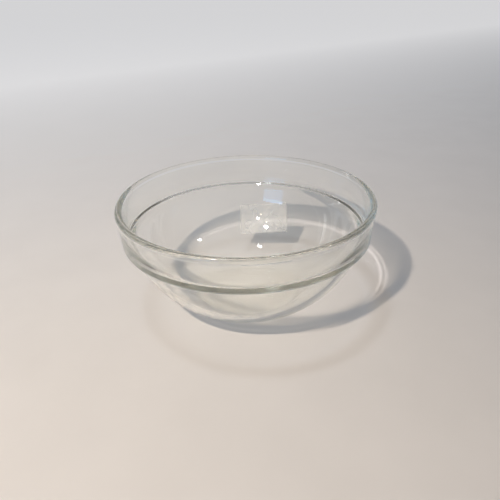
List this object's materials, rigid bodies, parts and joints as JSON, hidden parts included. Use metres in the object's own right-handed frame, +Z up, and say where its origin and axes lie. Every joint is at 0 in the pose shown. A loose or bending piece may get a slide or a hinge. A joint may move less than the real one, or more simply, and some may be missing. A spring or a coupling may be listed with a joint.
{
  "type": "prep bowl",
  "caption": "Round clear glass prep bowl with a flat base, rounded body, stacking ledge under a straight collar and a rounded rim, with a small blank label stuck on its back wall.",
  "frame": {"origin": "centre of the flat base, on the plane the bowl stands on", "axes": "+Z up along the bowl's axis, -Y to the front, so the label is on the +Y side, a little towards +X"},
  "size_m": [0.14, 0.14, 0.062],
  "materials": {
    "clear_glass": "gloss",
    "label_adhesive": "clear",
    "label_film": "satin"
  },
  "bodies": {
    "root": {"glass_bowl": "clear_glass", "label_adhesive": "label_adhesive", "label_film": "label_film"}
  },
  "joints": []
}
